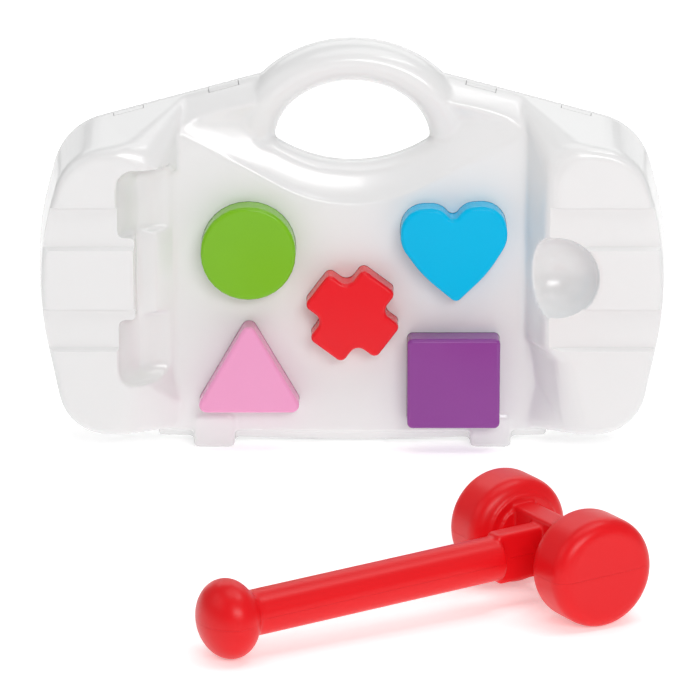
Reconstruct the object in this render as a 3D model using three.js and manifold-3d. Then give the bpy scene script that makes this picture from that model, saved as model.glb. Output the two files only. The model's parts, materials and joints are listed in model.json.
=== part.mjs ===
// Pounding bench: a two-shell plastic carry case with five captive shape pegs, and its double-headed hammer.
// Millimetres. The case is modelled in panel space: X to the right, Y up, Z forward out of its middle plane.
import * as THREE from 'three';
import { mergeVertices } from 'three/addons/utils/BufferGeometryUtils.js';
import Module from 'manifold-3d';

const wasm = await Module();
wasm.setup();

// Case, seen from the front: the corners of its outline, and how each is rounded
const caseHalfWidth = 151.1;
const caseWaistHeight = 92.4;
const caseWaistRadius = 146;
const caseBottomHalfWidth = 135.1;
const caseBottomHeight = 8;
const caseBottomRadius = 34;
const shoulderHeight = 177;
const shoulderInnerX = 43;
const shoulderInnerRadius = 12;
const shoulderSlope = 0.271;
const shoulderOuterX = 134.2;
const shoulderOuterRadius = 31.5;
const skirtDrop = 5;
const skirtLowest = 0.8;

// Case, front to back: each depth is counted from the middle plane
const panelDepth = 14;
const bulgeDepth = 36;
const rimDepth = 8;
const lipDepth = 6.5;
const wall = 2.5;
const seamGap = 0.3;

// Side bulges
const bulgeFootX = 74.7;
const bulgeFaceInnerX = 92.5;
const bulgeSideDraft = 4;
const bulgeBottomDraft = 5.5;
const bulgeTopDraft = 9;
const bulgeEdge = 3;
const bulgeFootRadius = 1;
const bulgeFaceBottomRadius = 22;
const bulgeFaceTopRadius = 25;
const bulgeFaceInnerDrop = 6;
const bulgeFaceInnerRadius = 16;
const bulgeStepHeight = 52;
const bulgeStepRise = 2;
const bulgeStepFall = 4;
const bulgeStepWidth = 7;
const bulgeStepFlare = 8;
const bulgeStepRadius = 6;
const grooveDepth = 1.2;
const grooveWidth = 22.4;
const grooveHeights = [61.2, 109.2];

// Panel, scoop under the handle, and feet
const panelBottom = 8.4;
const panelSag = 0.2;
const rimMiddleFall = 2;
const rimFrontFall = 7.2;
const shoulderFall = 16;
const ridgeLowest = 117.5;
const ridgeRadius = 70;
const ridgeAngle = THREE.MathUtils.degToRad(28);
const scoopFloorRadius = 60;
const scoopFloorAngle = THREE.MathUtils.degToRad(50);
const ridgeHalfWidth = 86;
const scoopRise = 19.5;
const scoopRoofFall = 12;
const footX = 65;
const footWidth = 19.5;
const footHeight = 15.7;
const footProud = 1;
const footChamfer = 1.6;
const footSoleRadius = 0.4;
const footRootRadius = 2;

// Handle: an elliptical tube along a half ellipse
const handleHalfSpan = 45.6;
const handleRise = 37.2;
const handleDrop = 31;
const handleBase = shoulderHeight - handleDrop;
const handleHalfHeight = 9.9;
const handleHalfDepth = 13;
const handleEndAngle = THREE.MathUtils.degToRad(-20);
const handleHollowEndAngle = THREE.MathUtils.degToRad(12);
const lipHeight = 135.7;
const lipRadius = 65;

// Hammer, and the recess that stores it
const hammerHeadRadius = 23.2;
const hammerHeadLength = 25;
const hammerHeadEdge = 6.5;
const hammerHeadSpacing = 66;
const hammerSteps = [{ radius: 17, height: 1.2 }, { radius: 12.5, height: 2.4 }];
const hammerNeckWidth = 10.4;
const hammerNeckHeight = 26.8;
const hammerWebWidth = 8.8;
const hammerWebHeight = 19.6;
const hammerWebReach = 26;
const hammerWebEdge = 1.4;
const hammerReach = 150.6;
const hammerGripRadius = 9.4;
const hammerKnobRadius = 16.4;
const hammerKnobHalfLength = 12.2;
const hammerWall = 2.4;
const hammerYaw = THREE.MathUtils.degToRad(209.2);
const hammerPlace = { x: 81.6, inFront: 236.7 };
const recessClearance = 0.8;
const recessAxisX = -84.7;
const recessMiddle = 86.5;
const recessAxisProud = 3.5;
const recessSlack = 3.3;
const recessSpread = 2.2;
const channelSlack = 8.8;
const channelRoom = 6.1;
const knobScoopX = 94.4;
const knobScoopRadius = 19.2;

// Pegs: outlines
const circleRadius = 22;
const heartTip = { below: 24.6, radius: 3 };
const heartFlank = { out: 15.2, above: -11, radius: 60 };
const heartSide = { out: 25.2, above: 4, radius: 14 };
const heartLobe = { out: 23.2, above: 20.9, radius: 11 };
const heartCrown = { out: 5.6, above: 20.6, radius: 9 };
const heartNotch = { above: 13.6, radius: 3 };
const heartTilt = THREE.MathUtils.degToRad(2.2);
const crossReach = 20.9;
const crossArm = 9.7;
const crossCorner = 3;
const crossCrook = 4.5;
const crossTurn = THREE.MathUtils.degToRad(53);
const triangleHalfBase = 26;
const triangleBelow = 19.6;
const triangleAbove = 25.4;
const triangleCorner = 3.6;
const squareHalf = 21.6;
const squareCorner = 2.6;
const circlePlace = { x: -48.2, y: 96.6 };
const heartPlace = { x: 47.2, y: 97.6 };
const crossPlace = { x: 0, y: 66.8 };
const trianglePlace = { x: -48.2, y: 39.8 };
const squarePlace = { x: 47.2, y: 34.2 };

// Pegs: cups, bands and pins
const pegProud = 13;
const pegClearance = 0.5;
const pegEdge = 1.8;
const pegWall = 2.4;
const pegFit = 0.3;
const bandThickness = 3.6;
const bandOverlap = 2.4;
const bandInset = 4;
const bandRoom = 0.6;
const collarHeight = 2.5;
const pegPinRadius = 4;
const pegSocketWall = 2.4;
const pegPinLap = 12;
const pegPinTipGap = 2;

// Screws, driven from the back into bosses of the front shell
const screwPlaces = [[-121, 141], [121, 141], [-116, 25], [116, 25], [0, 104], [0, 26]];
const screwRadius = 1.5;
const screwHeadRadius = 3.4;
const screwHeadHeight = 2.3;
const screwReach = 8.5;
const screwTip = 1.5;
const screwClearance = 0.4;
const bossRadius = 4.5;
const wellRadius = 4.2;
const wellWall = 2.2;
const wellFloor = 7;

// Snap tabs of the rear shell, in notches of the front shell's rim
const tabLength = 14;
const tabReach = 4.4;
const tabRoot = 3;
const tabGap = 0.3;
const tabDepth = 7;
const tabShoulderX = [60, 104];
const tabSideHeight = 117;
const tabSideInset = 7;
const tabSideLean = 0.215;
const tabSkirtX = 23;
const tabSkirtLean = 0.03;
const tabBottomX = 96;

const shellPlastic = { color: 0xf1f0ec, roughness: 0.3, metalness: 0 };
const hammerPlastic = { color: 0xe0201c, roughness: 0.25, metalness: 0 };
const bandRubber = { color: 0x3a3a3c, roughness: 0.8, metalness: 0 };
const screwSteel = { color: 0xb9bcc0, roughness: 0.35, metalness: 0.9 };

// Solids

function solid(geometry) {
  const bare = geometry.clone();
  bare.deleteAttribute('normal');
  bare.deleteAttribute('uv');
  const merged = mergeVertices(bare, 1e-4);
  const vertProperties = new Float32Array(merged.attributes.position.array);
  const triVerts = new Uint32Array(merged.index.array);
  return new wasm.Manifold(new wasm.Mesh({ numProp: 3, vertProperties, triVerts }));
}

function unite(solids) {
  return solids.reduce((whole, next) => whole.add(next));
}

function geometryOf(body) {
  const mesh = body.getMesh();
  const geometry = new THREE.BufferGeometry();
  geometry.setAttribute('position', new THREE.BufferAttribute(new Float32Array(mesh.vertProperties), 3));
  geometry.setIndex(new THREE.BufferAttribute(new Uint32Array(mesh.triVerts), 1));
  return geometry;
}

function part(name, body, finish) {
  const geometry = geometryOf(body);
  geometry.computeVertexNormals();
  const piece = new THREE.Mesh(geometry, new THREE.MeshStandardMaterial(finish));
  piece.name = name;
  return piece;
}

// Outlines are lists of corners [x, y, radius], counter-clockwise. A negative radius is a hollow corner's.

const filletShare = 0.98;
const straightTurn = 1e-3;
const tiny = 1e-6;

function turnAt(corners, index) {
  const count = corners.length;
  const [before, here, after] = [index - 1, index, index + 1].map((i) => {
    const [x, y] = corners[(i + count) % count];
    return new THREE.Vector2(x, y);
  });
  const arriving = here.clone().sub(before);
  const leaving = after.clone().sub(here);
  const sides = [arriving.length(), leaving.length()];
  arriving.normalize();
  leaving.normalize();
  return { here, arriving, leaving, sides, turn: Math.atan2(arriving.cross(leaving), arriving.dot(leaving)) };
}

// How far each fillet reaches along its sides. Two fillets that would overlap share the side between them.
function filletReaches(corners, turns) {
  const count = corners.length;
  const wanted = turns.map(({ turn }, index) => {
    const size = Math.abs(corners[index][2]);
    return Math.abs(turn) < straightTurn ? size / 2 : size * Math.tan(Math.abs(turn) / 2);
  });
  return wanted.map((reach, index) => {
    const beside = [wanted[(index + count - 1) % count], wanted[(index + 1) % count]];
    const { sides } = turns[index];
    const shares = beside.map((other, side) => (filletShare * sides[side]) / (reach + other + tiny));
    return reach * Math.min(1, ...shares);
  });
}

function roundCorners(corners, steps = 4) {
  const turns = corners.map((_, index) => turnAt(corners, index));
  const reaches = filletReaches(corners, turns);
  return turns.flatMap(({ here, arriving, leaving, turn }, index) => {
    const reach = reaches[index];
    if (reach < tiny) {
      return [here];
    }
    if (Math.abs(turn) < straightTurn) {
      return Array.from({ length: steps + 1 }, (_, step) => (
        here.clone().addScaledVector(leaving, reach * ((2 * step) / steps - 1))
      ));
    }
    const start = here.clone().addScaledVector(arriving, -reach);
    const inward = new THREE.Vector2(-arriving.y, arriving.x).multiplyScalar(Math.sign(turn));
    const centre = start.clone().addScaledVector(inward, reach / Math.tan(Math.abs(turn) / 2));
    return Array.from({ length: steps + 1 }, (_, step) => (
      start.clone().rotateAround(centre, (turn * step) / steps)
    ));
  });
}

function growCorners(corners, distance) {
  return corners.map(([, , radius], index) => {
    const { here, arriving, leaving, turn } = turnAt(corners, index);
    const bisector = new THREE.Vector2(arriving.y + leaving.y, -arriving.x - leaving.x).normalize();
    const moved = here.clone().addScaledVector(bisector, distance / Math.cos(turn / 2));
    const grown = turn > 0 ? Math.max(radius + distance, 0.2) : Math.min(radius + distance, -0.2);
    return [moved.x, moved.y, grown];
  });
}

function blendCorners(first, second, share) {
  return first.map((corner, index) => corner.map((value, axis) => (
    THREE.MathUtils.lerp(value, second[index][axis], share)
  )));
}

function mirrorCorners(corners) {
  return corners.map(([x, y, radius]) => [-x, y, radius]).reverse();
}

// A loft through closed rings of points, each at its own depth, with flat ends
function loft(rings, steps = 4) {
  const loops = rings.map(({ corners, depth }) => ({ points: roundCorners(corners, steps), depth }));
  const count = loops[0].points.length;
  const positions = loops.flatMap(({ points, depth }) => points.flatMap(({ x, y }) => [x, y, depth]));
  const index = [];
  for (let ring = 0; ring < loops.length - 1; ring += 1) {
    for (let i = 0; i < count; i += 1) {
      const next = (i + 1) % count;
      const [low, high] = [ring * count, (ring + 1) * count];
      index.push(low + i, low + next, high + next, low + i, high + next, high + i);
    }
  }
  const last = (loops.length - 1) * count;
  for (const [a, b, c] of THREE.ShapeUtils.triangulateShape(loops[0].points, [])) {
    index.push(c, b, a);
  }
  for (const [a, b, c] of THREE.ShapeUtils.triangulateShape(loops[loops.length - 1].points, [])) {
    index.push(last + a, last + b, last + c);
  }
  const geometry = new THREE.BufferGeometry();
  geometry.setAttribute('position', new THREE.Float32BufferAttribute(positions, 3));
  geometry.setIndex(index);
  return solid(geometry);
}

function prism(corners, back, front, steps = 4) {
  return loft([{ corners, depth: back }, { corners, depth: front }], steps);
}

function block(width, height, back, front, x, y, turn = 0) {
  const geometry = new THREE.BoxGeometry(width, height, front - back);
  geometry.rotateZ(turn).translate(x, y, (front + back) / 2);
  return solid(geometry);
}

function rod(radius, back, front, x, y, sides = 10) {
  const geometry = new THREE.CylinderGeometry(radius, radius, front - back, sides);
  geometry.rotateX(Math.PI / 2).translate(x, y, (front + back) / 2);
  return solid(geometry);
}

function turned(profile, sides) {
  return new THREE.LatheGeometry(profile.map(([radius, along]) => new THREE.Vector2(radius, along)), sides);
}

// Case forms: every form can be asked for with an inset, which gives the inside of a wall of that thickness

function shoulderAt(x) {
  return shoulderHeight - shoulderSlope * (x - shoulderInnerX);
}

function bulgeBase() {
  return [
    [bulgeFootX - bulgeStepFlare, caseBottomHeight, bulgeFootRadius],
    [caseBottomHalfWidth, caseBottomHeight, caseBottomRadius],
    [caseHalfWidth, caseWaistHeight, caseWaistRadius],
    [shoulderOuterX, shoulderAt(shoulderOuterX), shoulderOuterRadius],
    [bulgeFootX, shoulderAt(bulgeFootX), bulgeFootRadius],
    [bulgeFootX, bulgeStepHeight + bulgeStepRise, bulgeFootRadius],
    [bulgeFootX, bulgeStepHeight - bulgeStepFall, -bulgeFootRadius],
  ];
}

function bulgeFace() {
  const bottom = caseBottomHeight + bulgeBottomDraft;
  const stepX = bulgeFaceInnerX + bulgeStepWidth;
  const topOuter = shoulderAt(shoulderOuterX) - bulgeTopDraft;
  const topInner = shoulderAt(bulgeFaceInnerX) - bulgeTopDraft - bulgeFaceInnerDrop;
  return [
    [stepX + bulgeStepFlare, bottom, bulgeStepRadius],
    [caseBottomHalfWidth - bulgeSideDraft, bottom, bulgeFaceBottomRadius],
    [caseHalfWidth - bulgeSideDraft, caseWaistHeight, caseWaistRadius],
    [shoulderOuterX - bulgeSideDraft, topOuter, bulgeFaceTopRadius],
    [bulgeFaceInnerX, topInner, bulgeFaceInnerRadius],
    [bulgeFaceInnerX, bulgeStepHeight + bulgeStepRise, bulgeStepRadius],
    [stepX, bulgeStepHeight - bulgeStepFall, -bulgeStepRadius],
  ];
}

function bulge(inset) {
  const front = bulgeDepth - inset;
  const at = (depth, shrink) => ({
    corners: growCorners(blendCorners(bulgeBase(), bulgeFace(), depth / bulgeDepth), -inset - shrink),
    depth,
  });
  const right = [
    { ...at(0, 0), depth: inset > 0 ? -1 : 0 },
    at(front - bulgeEdge, 0),
    at(front - bulgeEdge * 0.3, bulgeEdge * 0.3),
    at(front, bulgeEdge),
  ];
  const left = right.map(({ corners, depth }) => ({ corners: mirrorCorners(corners), depth }));
  const steps = inset > 0 ? 1 : 3;
  return loft(right, steps).add(loft(left, steps));
}

function plateCorners(bottom, sag, fall) {
  const edge = (bulgeFootX + bulgeFaceInnerX) / 2 + bulgeStepFlare;
  return [
    [-edge, bottom + sag, 0],
    [0, bottom - sag * 0.6, edge * 8],
    [edge, bottom + sag, 0],
    [edge, shoulderAt(edge) - fall, 0],
    [shoulderInnerX, shoulderHeight - fall, shoulderInnerRadius],
    [-shoulderInnerX, shoulderHeight - fall, shoulderInnerRadius],
    [-edge, shoulderAt(edge) - fall, 0],
  ];
}

function plate(inset) {
  const sag = skirtDrop / 2;
  const rings = [
    { corners: plateCorners(skirtLowest + sag, sag, 0), depth: inset > 0 ? -1 : 0 },
    { corners: plateCorners(skirtLowest + sag, sag, rimMiddleFall), depth: rimDepth / 2 },
    { corners: plateCorners(skirtLowest + sag, sag, rimFrontFall), depth: rimDepth },
    { corners: plateCorners(panelBottom, panelSag, shoulderFall), depth: panelDepth - inset },
  ];
  const inside = rings.map(({ corners, depth }) => ({ corners: growCorners(corners, -inset), depth }));
  return loft(inside, inset > 0 ? 2 : 5);
}

// The hollow between the panel's upper ridge and the hand opening: a dish that narrows with its depth
function ridgeCorners(depth) {
  const share = (panelDepth - depth) / (panelDepth - lipDepth);
  const radius = THREE.MathUtils.lerp(ridgeRadius, scoopFloorRadius, share);
  const angle = THREE.MathUtils.lerp(ridgeAngle, scoopFloorAngle, share);
  const apex = ridgeLowest + scoopRise * share - radius * (1 / Math.cos(angle) - 1);
  const ends = apex + ridgeHalfWidth * Math.tan(angle);
  const top = ends + shoulderHeight;
  return [
    [0, apex, radius],
    [ridgeHalfWidth, ends, 0],
    [ridgeHalfWidth, top, 0],
    [-ridgeHalfWidth, top, 0],
    [-ridgeHalfWidth, ends, 0],
  ];
}

// On each side of the handle the shoulder's front edge stands over the hollow as a roof
function scoopRoofs() {
  const roofAt = (x) => shoulderAt(x) - scoopRoofFall;
  const far = ridgeHalfWidth + wall;
  const right = [
    [shoulderInnerX, roofAt(shoulderInnerX), 0],
    [far, roofAt(far), 0],
    [far, shoulderHeight, 0],
    [shoulderInnerX, shoulderHeight, 0],
  ];
  return unite([right, mirrorCorners(right)].map((corners) => prism(corners, 0, bulgeDepth)));
}

function scoop() {
  const front = panelDepth + wall;
  return loft([
    { corners: ridgeCorners(lipDepth), depth: lipDepth },
    { corners: ridgeCorners(front), depth: front },
  ], 8).subtract(scoopRoofs());
}

// Above the ridge the two halves are solid
function aboveRidge() {
  return prism(growCorners(ridgeCorners(panelDepth), wall), -bulgeDepth, bulgeDepth, 3);
}

function handlePath(end) {
  return new THREE.EllipseCurve(0, handleBase, handleHalfSpan, handleRise, Math.PI - end, end, true);
}

function handleTube(inset, end) {
  const points = handlePath(end).getPoints(16).map(({ x, y }) => new THREE.Vector3(x, y, 0));
  const section = new THREE.Shape();
  section.absellipse(0, 0, handleHalfDepth - inset, handleHalfHeight - inset, 0, Math.PI * 2);
  const extrudePath = new THREE.CatmullRomCurve3(points);
  const [steps, curveSegments] = inset > 0 ? [8, 4] : [16, 6];
  return solid(new THREE.ExtrudeGeometry(section, { steps, curveSegments, extrudePath }));
}

// The hand opening in the plate reaches up to the middle of the handle tube, and its lip is a long arc
function handOpening(back, front) {
  const shape = new THREE.Shape();
  const lipSpread = Math.asin((handleHalfSpan - handleHalfHeight) / lipRadius);
  const lipMiddle = -Math.PI / 2;
  shape.moveTo(handleHalfSpan, handleBase);
  shape.absellipse(0, handleBase, handleHalfSpan, handleRise, 0, Math.PI, false);
  shape.absarc(0, lipHeight + lipRadius, lipRadius, lipMiddle - lipSpread, lipMiddle + lipSpread, false);
  const through = { depth: front - back, bevelEnabled: false, curveSegments: 6 };
  return solid(new THREE.ExtrudeGeometry(shape, through).translate(0, 0, back));
}

function feet() {
  const reach = panelDepth + footProud;
  const sole = [
    [-footWidth / 2, 0, footSoleRadius],
    [footWidth / 2, 0, footSoleRadius],
    [footWidth / 2, footHeight, footRootRadius],
    [-footWidth / 2, footHeight, footRootRadius],
  ];
  return unite([-footX, footX].map((x) => {
    const placed = sole.map(([cornerX, y, radius]) => [cornerX + x, y, radius]);
    return loft([
      { corners: placed, depth: 0 },
      { corners: placed, depth: reach - footChamfer },
      { corners: growCorners(placed, -footChamfer * 0.6), depth: reach },
    ], 2);
  }));
}

function grooves() {
  return unite(grooveHeights.map((height) => (
    block(caseHalfWidth * 3, grooveWidth, bulgeDepth - grooveDepth, bulgeDepth + wall, 0, height)
  )));
}

// The head recess holds the hammer's heads upright in two round pockets, joined by a channel for its neck
function headRecess(inset) {
  const radius = hammerHeadRadius + recessClearance + inset;
  const axisDepth = bulgeDepth + recessAxisProud;
  const spacing = hammerHeadSpacing + 2 * recessSpread;
  const length = hammerHeadLength + 2 * recessSlack + 2 * inset;
  const pockets = [-1, 1].map((side) => {
    const geometry = new THREE.CylinderGeometry(radius, radius, length, inset > 0 ? 16 : 28);
    return solid(geometry.translate(recessAxisX, recessMiddle + (side * spacing) / 2, axisDepth));
  });
  const width = hammerNeckWidth + 2 * (channelSlack + inset);
  const floor = axisDepth - hammerNeckHeight / 2 - channelRoom - inset;
  const channel = block(width, spacing, floor, axisDepth + radius, recessAxisX, recessMiddle);
  return unite([...pockets, channel]);
}

function knobScoop(inset) {
  const geometry = new THREE.SphereGeometry(knobScoopRadius + inset, inset > 0 ? 12 : 20, inset > 0 ? 6 : 12);
  return solid(geometry.translate(knobScoopX, recessMiddle, bulgeDepth));
}

// The outside of one half of the case, from the middle plane forward
function caseHalf() {
  const front = block(caseHalfWidth * 3, shoulderHeight * 3, 0, bulgeDepth * 2, 0, 0);
  return plate(0)
    .subtract(scoop())
    .subtract(handOpening(-1, bulgeDepth))
    .add(bulge(0))
    .add(handleTube(0, handleEndAngle).intersect(front))
    .add(feet())
    .subtract(grooves());
}

// The hollow inside one half, open at the middle plane
function caseHollow() {
  return plate(wall)
    .subtract(aboveRidge())
    .add(bulge(wall + grooveDepth / 2))
    .add(handleTube(wall, handleHollowEndAngle));
}

// Pegs: outlines about their own middles, and where those middles are on the panel

function polygonCorners(count, radius, turn, cornerRadius) {
  return Array.from({ length: count }, (_, i) => {
    const angle = turn + (i * 2 * Math.PI) / count;
    return [radius * Math.cos(angle), radius * Math.sin(angle), cornerRadius];
  });
}

function turnCorners(corners, turn) {
  return corners.map(([x, y, radius]) => {
    const point = new THREE.Vector2(x, y).rotateAround(new THREE.Vector2(), turn);
    return [point.x, point.y, radius];
  });
}

function circleCorners() {
  const sides = 8;
  return polygonCorners(sides, circleRadius / Math.cos(Math.PI / sides), 0, circleRadius);
}

function heartCorners() {
  const bends = [heartFlank, heartSide, heartLobe, heartCrown];
  const half = bends.map(({ out, above, radius }) => [out, above, radius]);
  const tip = [0, -heartTip.below, heartTip.radius];
  const notch = [0, heartNotch.above, -heartNotch.radius];
  return turnCorners([tip, ...half, notch, ...mirrorCorners(half)], heartTilt);
}

function crossCorners() {
  const arm = [
    [crossReach, -crossArm, crossCorner],
    [crossReach, crossArm, crossCorner],
    [crossArm, crossArm, -crossCrook],
  ];
  return [0, 1, 2, 3].flatMap((quarter) => turnCorners(arm, crossTurn + (quarter * Math.PI) / 2));
}

function triangleCorners() {
  return [
    [-triangleHalfBase, -triangleBelow, triangleCorner],
    [triangleHalfBase, -triangleBelow, triangleCorner],
    [0, triangleAbove, triangleCorner],
  ];
}

function squareCorners() {
  return [[-1, -1], [1, -1], [1, 1], [-1, 1]].map(([x, y]) => [x * squareHalf, y * squareHalf, squareCorner]);
}

const pegs = [
  { name: 'circle', ...circlePlace, corners: circleCorners(), steps: 2, color: 0x76b82a },
  { name: 'heart', ...heartPlace, corners: heartCorners(), steps: 3, color: 0x0a9fdc },
  { name: 'cross', ...crossPlace, corners: crossCorners(), steps: 1, color: 0xd8232a },
  { name: 'triangle', ...trianglePlace, corners: triangleCorners(), steps: 3, color: 0xf08cc0 },
  { name: 'square', ...squarePlace, corners: squareCorners(), steps: 2, color: 0x74288c },
];

function pegOutline(peg, distance) {
  return growCorners(peg.corners, distance).map(([x, y, radius]) => [x + peg.x, y + peg.y, radius]);
}

const pegFront = panelDepth + pegProud;
const pegBack = -panelDepth;
const bandStop = panelDepth - wall - collarHeight;
const bandFront = bandStop - pegFit;
const bandBack = bandFront - bandThickness;

// A cup with a rounded rim on its struck end, hollow towards the waist
function pegCup(peg, struck, open) {
  const way = Math.sign(struck - open);
  const ring = (distance, depth) => ({ corners: pegOutline(peg, distance), depth });
  const outside = [
    ring(0, open),
    ring(0, struck - way * pegEdge),
    ring(-pegEdge * 0.3, struck - way * pegEdge * 0.3),
    ring(-pegEdge, struck),
  ];
  const inside = [ring(-pegWall, open - way), ring(-pegWall, struck - way * pegWall)];
  const ordered = (rings) => (way > 0 ? rings : [...rings].reverse());
  return loft(ordered(outside), peg.steps).subtract(loft(ordered(inside), peg.steps));
}

function pegParts(peg) {
  const frontOpen = bandFront + pegFit;
  const backOpen = bandBack - pegFit;
  const socketBack = frontOpen;
  const pinTip = socketBack + pegPinLap - pegPinTipGap;
  const socket = rod(pegPinRadius + pegFit + pegSocketWall, socketBack, pegFront - pegWall / 2, peg.x, peg.y)
    .subtract(rod(pegPinRadius + pegFit, socketBack - 1, socketBack + pegPinLap, peg.x, peg.y));
  const pin = rod(pegPinRadius, pegBack + pegWall / 2, pinTip, peg.x, peg.y);
  const bandHole = prism(pegOutline(peg, -bandInset), bandBack - 1, bandFront + 1, peg.steps);
  const band = prism(pegOutline(peg, bandOverlap), bandBack, bandFront, peg.steps).subtract(bandHole);
  const finish = { color: peg.color, roughness: 0.28, metalness: 0 };
  return [
    part(`${peg.name}_peg_front`, pegCup(peg, pegFront, frontOpen).add(socket), finish),
    part(`${peg.name}_peg_rear`, pegCup(peg, pegBack, backOpen).add(pin), finish),
    part(`${peg.name}_peg_band`, band, bandRubber),
  ];
}

// Each peg runs in a hole right through the panel, with room between the collars for its band to travel
function pegHoles() {
  return unite(pegs.flatMap((peg) => [
    prism(pegOutline(peg, pegClearance), -bulgeDepth, bulgeDepth, peg.steps),
    prism(pegOutline(peg, bandOverlap + bandRoom), -bandStop, bandStop, peg.steps),
  ]));
}

// A short guide collar stands around each peg's hole, on the inside of the panel
function pegCollars(outlineOf) {
  return unite(pegs.map((peg) => {
    const corners = outlineOf(pegOutline(peg, bandOverlap + bandRoom));
    return prism(corners, bandStop, panelDepth - wall / 2, peg.steps);
  }));
}

// Snap tabs: where they stand on the rim, and which way the rim runs there

function tabPlaces() {
  const slope = -Math.atan(shoulderSlope);
  const right = [
    ...tabShoulderX.map((x) => ({ x, y: shoulderAt(x), turn: slope })),
    { x: caseHalfWidth - tabSideInset, y: tabSideHeight, turn: Math.PI / 2 + tabSideLean },
    { x: tabSkirtX, y: skirtLowest, turn: tabSkirtLean },
    { x: tabBottomX, y: caseBottomHeight, turn: 0 },
  ];
  return [...right, ...right.map(({ x, y, turn }) => ({ x: -x, y, turn: -turn }))];
}

function tabBlocks(grow, back, front) {
  return unite(tabPlaces().map(({ x, y, turn }) => (
    block(tabLength + 2 * grow, tabDepth * 2, back, front + grow, x, y, turn)
  )));
}

// Shells

// Half a turn about the upright, which brings a form of the front half to the back
function flip(body) {
  return solid(geometryOf(body).scale(-1, 1, -1));
}

const outside = caseHalf();
const hollow = caseHollow();
const holes = pegHoles();
const seam = block(caseHalfWidth * 3, shoulderHeight * 3, -seamGap / 2, seamGap / 2, 0, 0);

function frontShell() {
  const bosses = unite(screwPlaces.map(([x, y]) => rod(bossRadius, 0, bulgeDepth, x, y)));
  const pilots = unite(screwPlaces.map(([x, y]) => (
    rod(screwRadius + screwClearance, -1, screwReach + screwClearance, x, y, 8)
  )));
  const linings = unite([headRecess(wall), knobScoop(wall), pegCollars((corners) => corners), bosses]);
  return outside
    .subtract(hollow.subtract(linings))
    .subtract(headRecess(0))
    .subtract(knobScoop(0))
    .subtract(holes)
    .subtract(pilots)
    .subtract(tabBlocks(tabGap, -1, tabReach))
    .subtract(seam);
}

function rearShell() {
  const wells = unite(screwPlaces.map(([x, y]) => rod(wellRadius + wellWall, -bulgeDepth, 0, x, y)));
  const wellBores = unite(screwPlaces.map(([x, y]) => rod(wellRadius, -bulgeDepth - 1, -wellFloor, x, y)));
  const shankBores = unite(screwPlaces.map(([x, y]) => (
    rod(screwRadius + screwClearance, -wellFloor - 1, 1, x, y, 8)
  )));
  const rearHollow = flip(hollow).subtract(unite([wells, flip(pegCollars(mirrorCorners))]));
  const rim = outside.subtract(hollow);
  const tabs = tabBlocks(0, -tabRoot, tabReach).intersect(rim.add(flip(rim)));
  return flip(outside)
    .subtract(rearHollow)
    .subtract(holes)
    .subtract(wellBores)
    .subtract(shankBores)
    .subtract(seam)
    .add(tabs);
}

function screw(name, x, y) {
  const seat = -wellFloor - pegFit;
  const profile = [
    [0, seat - screwHeadHeight],
    [screwHeadRadius * 0.7, seat - screwHeadHeight],
    [screwHeadRadius, seat - screwHeadHeight * 0.6],
    [screwHeadRadius, seat],
    [screwRadius, seat],
    [screwRadius, screwReach - screwTip],
    [0, screwReach],
  ];
  const geometry = turned(profile, 8).rotateX(Math.PI / 2).translate(x, y, 0);
  return part(name, solid(geometry), screwSteel);
}

// Hammer: X runs from the heads to the knob, Y along the heads' axis, Z across its parting plane

function hammerHead(side, inset) {
  const radius = hammerHeadRadius - inset;
  const half = hammerHeadLength / 2 - inset;
  const edge = hammerHeadEdge - inset * 0.6;
  const steps = inset > 0 ? 1 : 3;
  const arc = (centreRadius, centreAlong, from) => Array.from({ length: steps + 1 }, (_, i) => {
    const angle = from + (i * Math.PI) / (2 * steps);
    return [centreRadius + edge * Math.cos(angle), centreAlong + edge * Math.sin(angle)];
  });
  const profile = [
    [0, -half],
    ...arc(radius - edge, -half + edge, -Math.PI / 2),
    ...arc(radius - edge, half - edge, 0),
    [0, half],
  ];
  const geometry = turned(profile, inset > 0 ? 12 : 24).translate(0, (side * hammerHeadSpacing) / 2, 0);
  return solid(geometry);
}

// Two low round steps on a head's inner face
function hammerHeadSteps(side) {
  const inner = hammerHeadSpacing / 2 - hammerHeadLength / 2;
  return unite(hammerSteps.map(({ radius, height }) => {
    const geometry = new THREE.CylinderGeometry(radius, radius, height * 2, 16);
    return solid(geometry.translate(0, side * inner, 0));
  }));
}

function hammerKnob(inset) {
  const geometry = new THREE.SphereGeometry(1, inset > 0 ? 10 : 20, inset > 0 ? 6 : 10);
  geometry.scale(hammerKnobHalfLength - inset, hammerKnobRadius - inset, hammerKnobRadius - inset);
  return solid(geometry.rotateX(Math.PI / 2).translate(hammerReach, 0, 0));
}

function hammerGrip(inset) {
  const radius = hammerGripRadius - inset;
  const length = hammerReach - hammerWebReach + inset;
  const geometry = new THREE.CylinderGeometry(radius, radius, length, inset > 0 ? 8 : 16);
  return solid(geometry.rotateZ(Math.PI / 2).translate(hammerReach - length / 2, 0, 0));
}

function roundedBox(width, height, inset) {
  const [halfWidth, halfHeight] = [width / 2 - inset, height / 2 - inset];
  return [[-1, -1], [1, -1], [1, 1], [-1, 1]].map(([x, y]) => [x * halfWidth, y * halfHeight, hammerWebEdge]);
}

// The neck is a tall rib from head to head
function hammerNeck(inset) {
  const half = hammerHeadSpacing / 2;
  const neck = prism(roundedBox(hammerNeckWidth, hammerNeckHeight, inset), -half, half, 2);
  return solid(geometryOf(neck).rotateX(Math.PI / 2));
}

// A web, narrower than the grip, joins the neck to the grip's round end
function hammerWeb(inset) {
  const web = prism(roundedBox(hammerWebHeight, hammerWebWidth, inset), 0, hammerWebReach + hammerWebEdge, 2);
  return solid(geometryOf(web).rotateY(Math.PI / 2));
}

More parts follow.
